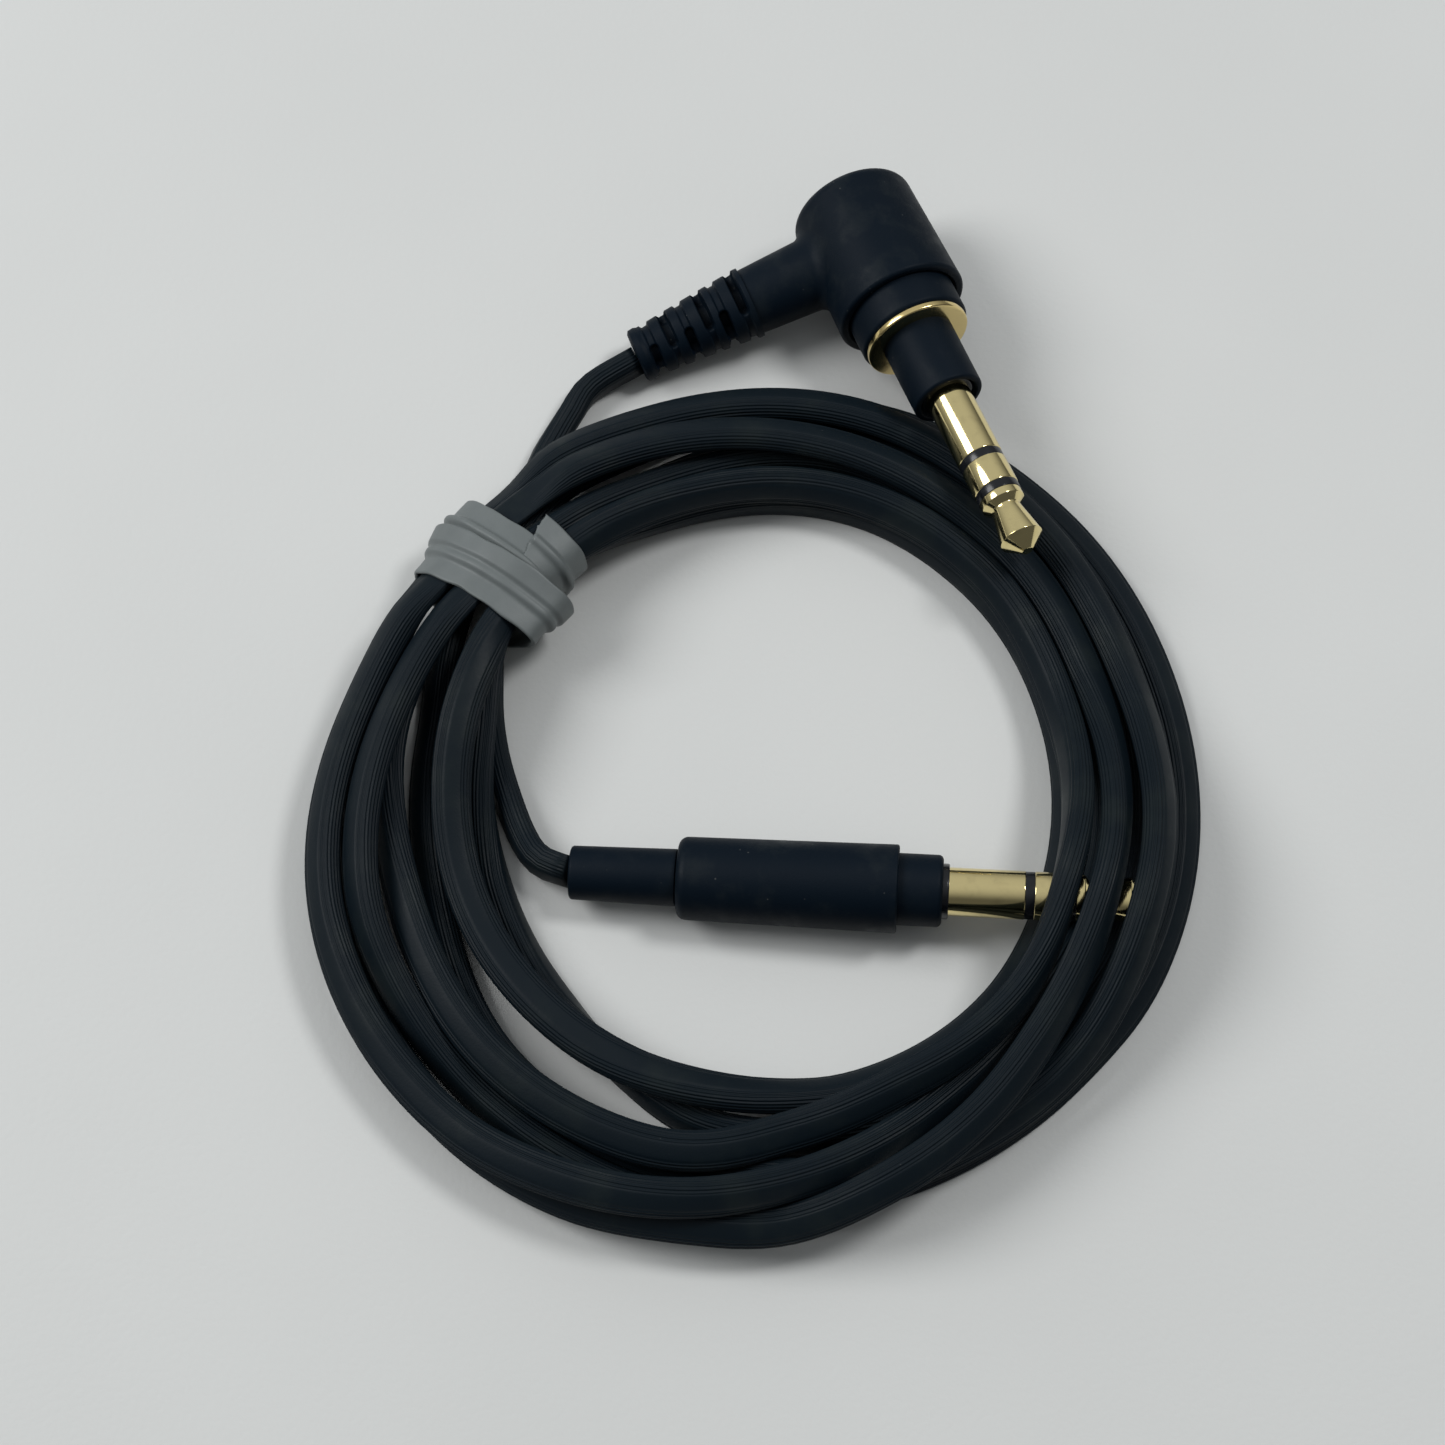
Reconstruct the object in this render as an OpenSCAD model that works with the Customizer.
// Stereo audio lead, 3.5 mm plug to 3.5 mm plug, coiled and held by a twist tie.
// One flat ribbed cord, 1.2 m long, runs from a right-angle plug with a slotted
// strain relief to a straight plug with a round sleeve. Millimetres, +Z up.
// The origin lies on the table, under the middle of the two plugs and the tie.

/* [Cord] */
// Width of the flat cord's solid
cord_w = 2.2; // [1.8:0.1:2.3]
// Thickness of the flat cord's solid
cord_h = 1.8; // [1.5:0.1:1.9]

/* [Contacts, both plugs] */
// Outer diameter of the gold sleeve and ring contacts
pin_d = 3.5; // [3.3:0.05:3.7]
// Bare length of the sleeve contact
sleeve_l = 5.4; // [5:0.1:6.5]
// Length of each black insulating ring
gap_l = 0.65; // [0.4:0.05:0.9]
// Length of the ring contact
ring_l = 2.3; // [1.8:0.1:2.8]
// Length of the tip contact
tip_l = 5; // [4.2:0.1:5.2]
// Diameter of the tip's waist
waist_d = 2.1; // [1.8:0.1:2.6]
// Diameter of the tip's head
head_d = 3.3; // [2.9:0.1:3.5]

/* [Angled plug] */
// Diameter of the barrel
barrel_d = 10; // [9:0.1:11]
// Length of the barrel
barrel_l = 10.8; // [9.5:0.1:11.5]
// Diameter of the black ring in the barrel's mouth
shoulder_d = 8.6; // [8:0.1:8.9]
// How far that ring stands out
shoulder_l = 2.6; // [1.5:0.1:3]
// Diameter of the gold flange
flange_d = 8.2; // [7:0.1:8.6]
// Diameter of the collar behind the contacts
collar_d = 5.8; // [5:0.1:6.5]
// Length of the collar
collar_l = 5.8; // [4:0.1:7]
// Diameter of the neck where it leaves the barrel
neck_d = 5.6; // [5:0.1:6.4]
// Distance from the contact axis to the neck's end
neck_l = 11.3; // [9.5:0.1:12.5]
// Length of the slotted strain relief
boot_l = 8.8; // [7.5:0.1:9.5]
// Diameter of the strain relief at its mouth
boot_d = 3.7; // [3.3:0.1:4.4]
// Width of each slot
slot_w = 0.65; // [0.4:0.05:0.9]

/* [Straight plug] */
// Diameter of the grip at its rear
grip_rear_d = 5.9; // [5.6:0.1:6.3]
// Diameter of the grip at its front
grip_front_d = 6.4; // [6.1:0.1:7]
// Length of the grip
grip_l = 15.9; // [14:0.1:17]
// Diameter of the collar
ferrule_d = 5.2; // [4.9:0.1:5.7]
// Length of the collar
ferrule_l = 3.2; // [2.5:0.1:4]
// Diameter of the strain relief sleeve
relief_d = 4; // [3.6:0.1:4.6]
// Length of the strain relief sleeve
relief_l = 7.6; // [6:0.1:8.5]

/* [Tie] */
// Width of the tie's ribbon
ribbon_w = 4.1; // [3:0.1:4.4]
// Thickness of the ribbon
ribbon_t = 0.45; // [0.3:0.05:0.5]
// Width of the raised wire rib
rib_w = 0.65; // [0.4:0.05:0.9]

/* [Hidden] */
$fn = 48;
fit = 0.05;         // between the pieces that are pushed together
air = 0.35;         // between the tie and the cord
wall = 1.2;         // of the two housings
wire_r = 0.22;      // core of one conductor
wire_gap = 0.5;     // from conductor to conductor in a strain relief
wire_bore = 0.8;    // radius of the channel for the conductors
lug_t = 0.25;
rib_h = 0.3;

// Where the plugs lie: the start of the bare contacts, and their directions.
angled_at = [13.85, 10.5, 6.75];
angled_turn = -68.3;
angled_rise = 5;
neck_droop = 9.5;
straight_at = [12.8, -27.6, 3.8];
straight_turn = -4;
straight_rise = 2.5;

// The coil: where the cord is at each bearing of each turn, as
// [bearing, reach from the coil's middle, how many cords deep it lies].
coil_at = [-0.5, -19.5];
tie_bearing = 137;
turn_rings = 24;
pitch_h = 2.35;     // height from one layer to the next
tie_lift = ribbon_t + air;
turns = [
    [[137, 28.4, 0], [152, 26.7, 0], [167, 25.1, 0], [197, 25.1, 0],
     [227, 27.3, 0], [259, 28.2, 0], [272, 28.8, 0.7], [285, 29.8, 1],
     [300, 29.9, 1.1], [317, 29.9, 1.5], [342, 28.8, 2.75], [377, 28.4, 1.1],
     [407, 30, 1], [437, 31.8, 1.1], [467, 31, 1.5], [482, 30.7, 1.4]],
    [[137, 29.8, 0.95], [152, 30.3, 0.45], [167, 30.4, 0], [197, 31.4, 0],
     [212, 32.6, 0], [227, 33.1, 0], [245, 33.2, 0.5], [259, 32.7, 1],
     [272, 32.4, 1.1], [285, 31.2, 2.1], [300, 29.3, 2.2], [317, 27.2, 2.4],
     [342, 25.6, 2.95], [377, 25.6, 1.1], [407, 26.9, 1.1], [437, 27.8, 1.8],
     [467, 28.4, 2.1], [482, 28.4, 2.05]],
    [[137, 28.4, 1.8], [152, 29.4, 1.65], [167, 30.3, 1.4], [197, 32.8, 1.2],
     [227, 33.4, 1.05], [245, 32.6, 1.6], [259, 31.6, 2], [272, 30, 1.9],
     [285, 28.4, 1.85], [292, 27.4, 1.5], [300, 26.4, 1.2], [317, 25.3, 0.8],
     [330, 25.1, 0.5], [342, 25.2, 0.1], [355, 25.4, 0], [377, 25.6, 0],
     [407, 26.8, 0], [437, 28, 0.8], [467, 26.5, 1.05], [482, 25.9, 1.35]],
    [[137, 25.7, 1.75], [152, 26.5, 1.95], [167, 27.4, 2.1], [197, 30, 1.5],
     [212, 30.2, 0.75], [227, 30.2, 0], [259, 31, 0], [272, 30.8, 0],
     [285, 30, 0], [317, 30, 0], [330, 30.5, 0], [342, 30.7, 0],
     [377, 31.1, 0], [407, 32.2, 0], [437, 33, 0], [467, 30.8, 0],
     [482, 29.3, 0.45]],
    [[137, 27, 0.87], [152, 27.3, 1], [167, 27.6, 1.05], [197, 27.2, 0.95],
     [227, 28, 1], [250, 28, 1.05], [259, 27.7, 1.15], [266, 27, 1.35],
     [272, 26.2, 1.4], [285, 25.3, 2], [292, 24.9, 2.2], [317, 24.3, 2.3],
     [342, 22.8, 2.9], [377, 22.8, 1.1], [407, 24.1, 1.05], [437, 25, 1.05],
     [467, 24, 1.55], [482, 23.3, 1.75]],
    [[137, 22.9, 1.8], [152, 22.7, 2], [167, 22.6, 2.1], [197, 22.8, 1],
     [227, 22.9, 1], [245, 23, 1], [259, 22.9, 0.9], [272, 22.8, 0.5],
     [285, 22.8, 0], [317, 22.8, 0], [342, 22.4, 0], [377, 22.8, 0],
     [407, 24, 0], [437, 25, 0], [467, 24.2, 0.3], [482, 24, 0.6]],
    [[137, 24.2, 0.87], [152, 22.8, 1], [167, 21.3, 1.1], [197, 20.5, 0],
     [227, 21.4, 0], [245, 23, 0], [259, 24.8, 0], [272, 25.5, 0],
     [285, 26.2, 0], [317, 27.2, 0], [330, 27.8, 0], [342, 28, 0],
     [377, 28.4, 0], [407, 29.5, 0], [437, 30.3, 0], [467, 27.6, 0],
     [482, 26.7, 0]]
];
coil_end = [137, 25.6, 0];
rows = [for (i = [0:len(turns) - 1], r = turns[i]) [r[0] + 360 * i, r[1], r[2]],
        [coil_end[0] + 360 * len(turns), coil_end[1], coil_end[2]]];

// A smooth curve through the rows, and the cord's place at any bearing.
function slope(i) = i <= 0 || i >= len(rows) - 1 ? [0, 0] :
    [rows[i + 1][1] - rows[i - 1][1], rows[i + 1][2] - rows[i - 1][2]]
    / (rows[i + 1][0] - rows[i - 1][0]);
function row_at(b, i) = i >= len(rows) - 2 || b < rows[i + 1][0] ? i : row_at(b, i + 1);
function blend(i, b) =
    let (h = rows[i + 1][0] - rows[i][0], t = (b - rows[i][0]) / h,
         p = [rows[i][1], rows[i][2]], q = [rows[i + 1][1], rows[i + 1][2]])
    (2 * t * t * t - 3 * t * t + 1) * p + (t * t * t - 2 * t * t + t) * h * slope(i)
    + (3 * t * t - 2 * t * t * t) * q + (t * t * t - t * t) * h * slope(i + 1);
function lift(b) = let (a = abs(b % 360 - tie_bearing)) a > 30 ? 0 :
    a < 10 ? tie_lift : tie_lift * (0.5 + 0.5 * cos((a - 10) * 9));
function coil_point(b) = let (v = blend(row_at(b, 0), b))
    [coil_at.x + v[0] * cos(b), coil_at.y + v[0] * sin(b),
     cord_h / 2 + pitch_h * max(v[1], 0) + lift(b)];
coil_b0 = tie_bearing;
coil_b1 = tie_bearing + 360 * len(turns);
coil_route = [for (k = [0:turn_rings * len(turns)])
    coil_point(coil_b0 + k * 360 / turn_rings)];

// A plug's own directions: contacts along +X, and on the angled one the neck
// along -Y.
function turned(v, droop, rise, turn) =
    let (y1 = v.y * cos(droop) - v.z * sin(droop), z1 = v.y * sin(droop) + v.z * cos(droop),
         x2 = v.x * cos(rise) - z1 * sin(rise), z2 = v.x * sin(rise) + z1 * cos(rise))
    [x2 * cos(turn) - y1 * sin(turn), x2 * sin(turn) + y1 * cos(turn), z2];
lip_l = 0.5;
flange_t = 0.5;
relief_gap = 0.2;
shoulder_x = -lip_l - collar_l - flange_t;
mouth_x = shoulder_x - shoulder_l;
neck_behind = 0.4;   // the middle of the barrel
neck_x = mouth_x - barrel_l / 2 - neck_behind;
grip_x = -lip_l - ferrule_l;
relief_x = grip_x - grip_l - relief_gap;
angled_mouth = angled_at
    + turned([neck_x, -neck_l - boot_l, 0], neck_droop, angled_rise, angled_turn);
angled_out = turned([0, -1, 0], neck_droop, angled_rise, angled_turn);
straight_mouth = straight_at
    + turned([relief_x - relief_l, 0, 0], 0, straight_rise, straight_turn);
straight_out = turned([-1, 0, 0], 0, straight_rise, straight_turn);

// The two free stretches, from a plug to the coil's end under the tie.
coil_last = len(coil_route) - 1;
coil_in = unit(coil_route[1] - coil_route[0]);
coil_out = unit(coil_route[coil_last] - coil_route[coil_last - 1]);
angled_route = [angled_mouth, [-12, 16.8, 1.7], [-13.8, 15, 1.2],
    [-15.4, 12.6, 0.95], [-16.9, 9.9, 0.9], [-18.4, 7.1, 0.95], [-19.8, 3.9, 1.3],
    coil_route[0]];
straight_route = [coil_route[coil_last], [-20.2, -5.1, 1.4], [-20.9, -8.7, 1],
    [-20.9, -12.5, 0.9], [-20.3, -16.1, 0.9], [-19.2, -19.7, 0.95],
    [-18, -22.7, 1.3], [-16.7, -24.6, 2], straight_mouth];

// Sweeps an oval section of n sides, w wide and h tall, along the points.
function unit(v) = v / norm(v);
function way(pts, i, a, z) = i == 0 ? a : i == len(pts) - 1 ? z :
    unit(pts[i + 1] - pts[i - 1]);
function ring(p, d, n, w, h) =
    let (s = unit(cross([0, 0, 1], d)), u = cross(d, s), turn = n == 8 ? 22.5 : 0,
         half_w = w / 2 / cos(turn), half_h = h / 2 / cos(n == 8 ? 22.5 : 30))
    [for (k = [0:n - 1]) p + s * half_w * cos(turn + 360 * k / n)
        + u * half_h * sin(turn + 360 * k / n)];
module sweep(pts, n, w, h, a, z) {
    m = len(pts);
    polyhedron([for (i = [0:m - 1]) each ring(pts[i], way(pts, i, a, z), n, w, h)],
        [[for (k = [0:n - 1]) k], [for (k = [0:n - 1]) m * n - 1 - k],
         for (i = [0:m - 2], k = [0:n - 1]) let (j = (k + 1) % n, p = i * n, q = p + n)
            each [[p + k, q + k, q + j], [p + k, q + j, p + j]]],
        convexity = 10);
}
function run(pts, i = 0) = i >= len(pts) - 1 ? 0 :
    norm(pts[i + 1] - pts[i]) + run(pts, i + 1);

// The least gap of the coil to itself, with the cord taken as an oval.
near_n = 72;
near_pts = [for (k = [0:near_n * len(turns)]) coil_point(coil_b0 + k * 360 / near_n)];
function space(d) = norm(d) * (1 - 1 / norm([norm([d.x, d.y]) / cord_w, d.z / cord_h]));
gaps = [for (i = [0:len(near_pts) - 1 - near_n / 2], j = [i + near_n / 2:len(near_pts) - 1])
    let (d = near_pts[j] - near_pts[i]) if (norm(d) < 6) space(d)];
echo(coil_length = run(near_pts), angled_length = run(angled_route),
    straight_length = run(straight_route),
    cord_length = run(near_pts) + run(angled_route) + run(straight_route));
echo(least_gap_of_the_coil_to_itself = min(gaps));

// Solids of revolution along X, from x0 to x1.
module rod(x0, x1, r, r2 = -1) {
    translate([x0, 0, 0]) rotate([0, 90, 0])
        cylinder(h = x1 - x0, r1 = r, r2 = r2 < 0 ? r : r2);
}
module pipe(x0, x1, r, bore) {
    difference() {
        rod(x0, x1, r);
        rod(x0 - 1, x1 + 1, bore);
    }
}
// The same with its ends rounded by f0 and f1, and r1 the radius at x1.
module round_rod(x0, x1, r0, r1, f0, f1) {
    l = x1 - x0;
    translate([x0, 0, 0]) rotate([0, 90, 0]) rotate_extrude() {
        polygon([[0, 0], [r0 - f0, 0], [r0 - f0, f0], [r0, f0], [r1, l - f1],
            [r1 - f1, l - f1], [r1 - f1, l], [0, l]]);
        translate([r0 - f0, f0]) circle(f0);
        translate([r1 - f1, l - f1]) circle(f1);
    }
}
// A round conductor along the points.
module wire(pts) {
    m = len(pts);
    sweep(pts, 8, 2 * wire_r, 2 * wire_r, unit(pts[1] - pts[0]), unit(pts[m - 1] - pts[m - 2]));
}

// The contacts: a rod in a tube in a tube, each in its insulator. Each runs
// back to the place given, where its lug sits.
pin_r = pin_d / 2;
ring_x = sleeve_l + gap_l;
tip_gap_x = ring_x + ring_l;
tip_x = tip_gap_x + gap_l;
rear_r = 1.55;
sleeve_bore = 1.2;
ring_r = 0.95;
ring_bore = 0.7;
tip_r = 0.4;
module sleeve_contact(back) {
    difference() {
        union() {
            rod(0, sleeve_l, pin_r);
            rod(back, 0.1, rear_r);
        }
        rod(back - 1, sleeve_l + 1, sleeve_bore);
    }
}
module ring_insulator(back) {
    difference() {
        union() {
            rod(sleeve_l, ring_x, pin_r - fit);
            rod(back, sleeve_l + 0.1, sleeve_bore - fit);
        }
        rod(back - 1, ring_x + 1, ring_r + fit);
    }
}
module ring_contact(back) {
    difference() {
        union() {
            rod(ring_x, tip_gap_x, pin_r);
            rod(back, ring_x + 0.1, ring_r);
        }
        rod(back - 1, tip_gap_x + 1, ring_bore);
    }
}
module tip_insulator(back) {
    difference() {
        union() {
            rod(tip_gap_x, tip_x, pin_r - fit);
            rod(back, tip_gap_x + 0.1, ring_bore - fit);
        }
        rod(back - 1, tip_x + 1, tip_r + fit);
    }
}
module tip_contact(back) {
    foot = 0.55;
    waist = 0.55;
    head = tip_l - 2.05;
    rod(back, tip_x + 0.1, tip_r);
    translate([tip_x, 0, 0]) {
        rod(0, foot, pin_r - 0.1);
        rod(foot, foot + waist, pin_r - 0.25, waist_d / 2);
        rod(foot + waist, head, waist_d / 2, head_d / 2);
        rod(head, tip_l - 0.25, head_d / 2, 0.45);
        rod(tip_l - 0.25, tip_l, 0.45, 0.25);
    }
}
// A soldering lug: a washer round the contact, with a tab towards -Y.
lug_rim = 0.4;
module lug(x, bore, reach) {
    difference() {
        union() {
            rod(x, x + lug_t, bore + lug_rim);
            if (reach > 0) translate([x, -reach, -0.4]) cube([lug_t, reach, 0.8]);
        }
        rod(x - 1, x + 1, bore);
    }
}

// The angled plug, in its own directions.
module angled() {
    translate(angled_at) rotate([neck_droop, -angled_rise, angled_turn]) children();
}
barrel_x = mouth_x - barrel_l;
barrel_round = 2.2;
barrel_lip = 0.5;
mould_r = shoulder_d / 2 - 0.9;
mould_back = 2.4;
a_ground = neck_x + 1;
a_ring = neck_x;
a_tip = neck_x - 1;
tab_l = 2.7;
module angled_body() {
    color("#20262c") angled() difference() {
        union() {
            round_rod(barrel_x, mouth_x, barrel_d / 2, barrel_d / 2, barrel_round, barrel_lip);
            translate([neck_x, 0, 0]) rotate([90, 0, 0])
                cylinder(h = neck_l, r1 = neck_d / 2 + 0.4, r2 = neck_d / 2 - 0.4);
        }
        rod(barrel_x + wall + 0.8, mouth_x + 1, mould_r + fit);
        translate([neck_x, 0, 0]) rotate([90, 0, 0]) cylinder(h = neck_l + 1, r = 1.5);
    }
}
module angled_strain_relief() {
    pitch = (boot_l - 1.6) / 5;
    color("#1d2329") angled() translate([neck_x, -neck_l, 0]) rotate([90, 0, 0])
        difference() {
            union() {
                cylinder(h = boot_l, r1 = neck_d / 2 - 0.4, r2 = boot_d / 2);
                translate([0, 0, boot_l - 0.9]) cylinder(h = 0.9, r = boot_d / 2 + 0.2);
            }
            translate([0, 0, -1]) cylinder(h = boot_l + 2, r = wire_bore);
            for (i = [0:4]) translate([-3, i % 2 == 0 ? 1 : -4, 0.8 + i * pitch])
                cube([6, 3, slot_w]);
        }
}
module angled_shoulder() {
    color("#1b2025") angled() difference() {
        round_rod(mouth_x, shoulder_x, shoulder_d / 2, shoulder_d / 2, 0.1, 0.3);
        rod(mouth_x - 1, shoulder_x + 1, mould_r + fit);
    }
}
module angled_mould() {
    color("#dcd8cc") angled() pipe(mouth_x - mould_back, shoulder_x, mould_r, rear_r + fit);
}
module angled_flange() {
    color("#d9bc72") angled()
        pipe(shoulder_x, shoulder_x + flange_t, flange_d / 2, rear_r + fit);
}
module angled_collar() {
    color("#1f252b") angled() difference() {
        round_rod(shoulder_x + flange_t, -lip_l, collar_d / 2, collar_d / 2, 0.1, 0.6);
        rod(shoulder_x - 1, 1, rear_r + fit);
    }
}
module angled_lip() {
    color("#15191d") angled() pipe(-lip_l, -fit, pin_r + 0.35, rear_r + fit);
}
module angled_sleeve() { color("#e0c47c") angled() sleeve_contact(a_ground); }
module angled_ring_insulator() { color("#17191c") angled() ring_insulator(a_ground - 0.3); }
module angled_ring() { color("#e0c47c") angled() ring_contact(a_ring); }
module angled_tip_insulator() { color("#17191c") angled() tip_insulator(a_ring - 0.3); }
module angled_tip() { color("#e0c47c") angled() tip_contact(a_tip); }
module angled_ground_lug() { color("#c9b27a") angled() lug(a_ground, rear_r + fit, tab_l); }
module angled_ring_lug() { color("#c9b27a") angled() lug(a_ring, ring_r + fit, tab_l); }
module angled_tip_lug() { color("#c9b27a") angled() lug(a_tip, tip_r + fit, tab_l); }
module angled_wire(side, x) {
    angled() wire([[neck_x + side * wire_gap, -neck_l - boot_l, 0],
        [neck_x + side * wire_gap, -neck_l, 0], [x + lug_t / 2, -tab_l, 0]]);
}
module angled_ground_wire() { color("#b86a38") angled_wire(1, a_ground); }
module angled_ring_wire() { color("#a8322a") angled_wire(0, a_ring); }
module angled_tip_wire() { color("#2f6f46") angled_wire(-1, a_tip); }

// The straight plug, in its own directions.
module straight() {
    translate(straight_at) rotate([0, -straight_rise, straight_turn]) children();
}
grip_back = grip_x - grip_l;
cavity_r = 2.3;
cavity_back = grip_back + 1.5;
contact_back = 6.5;
lug_step = 1.2;
s_ground = grip_x - contact_back;
s_ring = s_ground - lug_step;
s_tip = s_ring - lug_step;
module straight_grip() {
    color("#20262c") straight() difference() {
        round_rod(grip_back, grip_x, grip_rear_d / 2, grip_front_d / 2, 0.8, 0.4);
        rod(cavity_back, grip_x + 1, cavity_r);
        rod(grip_back - 1, cavity_back + 1, 1.25);
    }
}
module straight_strain_relief() {
    color("#1d2329") straight() difference() {
        union() {
            round_rod(relief_x - relief_l, relief_x, relief_d / 2, relief_d / 2, 0.9, 0.2);
            rod(relief_x - 0.1, cavity_back - 0.2, 1.2);
        }
        rod(relief_x - relief_l - 1, cavity_back + 1, wire_bore);
    }
}
module straight_mould() {
    color("#dcd8cc") straight() pipe(grip_x - 4, grip_x, cavity_r - fit, rear_r + fit);
}
module straight_collar() {
    color("#1f252b") straight() difference() {
        round_rod(grip_x, -lip_l, ferrule_d / 2, ferrule_d / 2, 0.1, 0.7);
        rod(grip_x - 1, 1, rear_r + fit);
    }
}
module straight_lip() {
    color("#15191d") straight() pipe(-lip_l, -fit, pin_r + 0.25, rear_r + fit);
}
module straight_sleeve() { color("#e0c47c") straight() sleeve_contact(s_ground); }
module straight_ring_insulator() { color("#17191c") straight() ring_insulator(s_ground - 0.3); }
module straight_ring() { color("#e0c47c") straight() ring_contact(s_ring); }
module straight_tip_insulator() { color("#17191c") straight() tip_insulator(s_ring - 0.3); }
module straight_tip() { color("#e0c47c") straight() tip_contact(s_tip); }
module straight_ground_lug() { color("#c9b27a") straight() lug(s_ground, rear_r + fit, 0); }
module straight_ring_lug() { color("#c9b27a") straight() lug(s_ring, ring_r + fit, 0); }
module straight_tip_lug() { color("#c9b27a") straight() lug(s_tip, tip_r + fit, 0); }
module straight_wire(side, y, x) {
    straight() wire([[relief_x - relief_l, side * wire_gap, 0],
        [cavity_back, side * wire_gap, 0], [s_tip - 1.5, y, 0], [x, y, 0]]);
}
module straight_ground_wire() {
    color("#b86a38") straight_wire(-1, -rear_r - fit - lug_rim / 2, s_ground);
}
module straight_ring_wire() {
    color("#a8322a") straight_wire(1, ring_r + fit + lug_rim / 2, s_ring);
}
module straight_tip_wire() { color("#2f6f46") straight_wire(0, 0, s_tip); }

// The cord.
module cord_coil() { color("#1b2229") sweep(coil_route, 6, cord_w, cord_h, coil_in, coil_out); }
module cord_to_angled_plug() {
    color("#1b2229") sweep(angled_route, 8, cord_w, cord_h, angled_out, coil_in);
}
module cord_to_straight_plug() {
    color("#1b2229") sweep(straight_route, 8, cord_w, cord_h, coil_out, -straight_out);
}

// The tie: outlines across the bundle, as [reach, height].
bundle = [[22.6, 0.8], [29.9, 0.8], [31.3, 3.2], [31.3, 4.9], [29.9, 6.95],
    [22.1, 6.95], [21.3, 6.2], [21.3, 3]];
function out_of(d) = let (n = len(bundle)) [for (i = [0:n - 1])
    let (p = bundle[(i + n - 1) % n], q = bundle[i], r = bundle[(i + 1) % n],
         a = unit(q - p), b = unit(r - q), na = [a.y, -a.x], nb = [b.y, -b.x])
    q + (na + nb) * d / (1 + na * nb)];
first_bearing = 136.9;
second_bearing = 141.3;
second_out = air + ribbon_t + 0.25;
module across(bearing, w) {
    translate([coil_at.x, coil_at.y, 0]) rotate([0, 0, bearing]) rotate([90, 0, 0])
        linear_extrude(w, center = true) children();
}
module loop(d0, d1) {
    difference() {
        polygon(out_of(d1));
        polygon(out_of(d0));
    }
}
// What lies above z0, and outwards of the slanting line from x0.
far = 50;
slant = 8;
rib_from = 1.6;
second_from = 2.2;
second_in = 15;
module above(z0, x0) {
    intersection() {
        children();
        polygon([[x0, z0], [far, z0], [far, far], [x0 - slant, far], [x0 - slant, z0 + slant]]);
    }
}
tail_at = [23.9, 0, 7.95];
tail_bearing = 131.6;
tail_tilt = -12;
tail_l = 4.4;
module tail(l, w, t, z) {
    translate([coil_at.x, coil_at.y, 0]) rotate([0, 0, tail_bearing])
        translate(tail_at) rotate([0, tail_tilt, 0]) translate([0, 0, z])
            cube([l, w, t], center = true);
}
groove = ribbon_t / 2;
module tie_first_wrap() {
    color("#6f7576") difference() {
        union() {
            across(first_bearing, ribbon_w) loop(air, air + ribbon_t);
            tail(tail_l, ribbon_w, ribbon_t, 0);
        }
        across(first_bearing, rib_w + fit)
            above(rib_from - 0.1, 0) loop(air + ribbon_t - groove, air + ribbon_t + 1);
    }
}
module tie_first_rib() {
    color("#7c8283") across(first_bearing, rib_w)
        above(rib_from, 0) loop(air + ribbon_t - groove + 0.02, air + ribbon_t + rib_h - groove);
}
module tie_second_wrap() {
    color("#6f7576") difference() {
        across(second_bearing, ribbon_w) above(second_from, second_in)
            loop(second_out, second_out + ribbon_t);
        across(second_bearing, rib_w + fit)
            above(second_from - 0.2, 0) loop(second_out + ribbon_t - groove, second_out + ribbon_t + 1);
    }
}
module tie_second_rib() {
    color("#7c8283") across(second_bearing, rib_w) above(second_from + 0.2, second_in)
        loop(second_out + ribbon_t - groove + 0.02, second_out + ribbon_t + rib_h - groove);
}

angled_body();
angled_strain_relief();
angled_shoulder();
angled_mould();
angled_flange();
angled_collar();
angled_lip();
angled_sleeve();
angled_ring_insulator();
angled_ring();
angled_tip_insulator();
angled_tip();
angled_ground_lug();
angled_ring_lug();
angled_tip_lug();
angled_ground_wire();
angled_ring_wire();
angled_tip_wire();
straight_grip();
straight_strain_relief();
straight_mould();
straight_collar();
straight_lip();
straight_sleeve();
straight_ring_insulator();
straight_ring();
straight_tip_insulator();
straight_tip();
straight_ground_lug();
straight_ring_lug();
straight_tip_lug();
straight_ground_wire();
straight_ring_wire();
straight_tip_wire();
cord_coil();
cord_to_angled_plug();
cord_to_straight_plug();
tie_first_wrap();
tie_first_rib();
tie_second_wrap();
tie_second_rib();
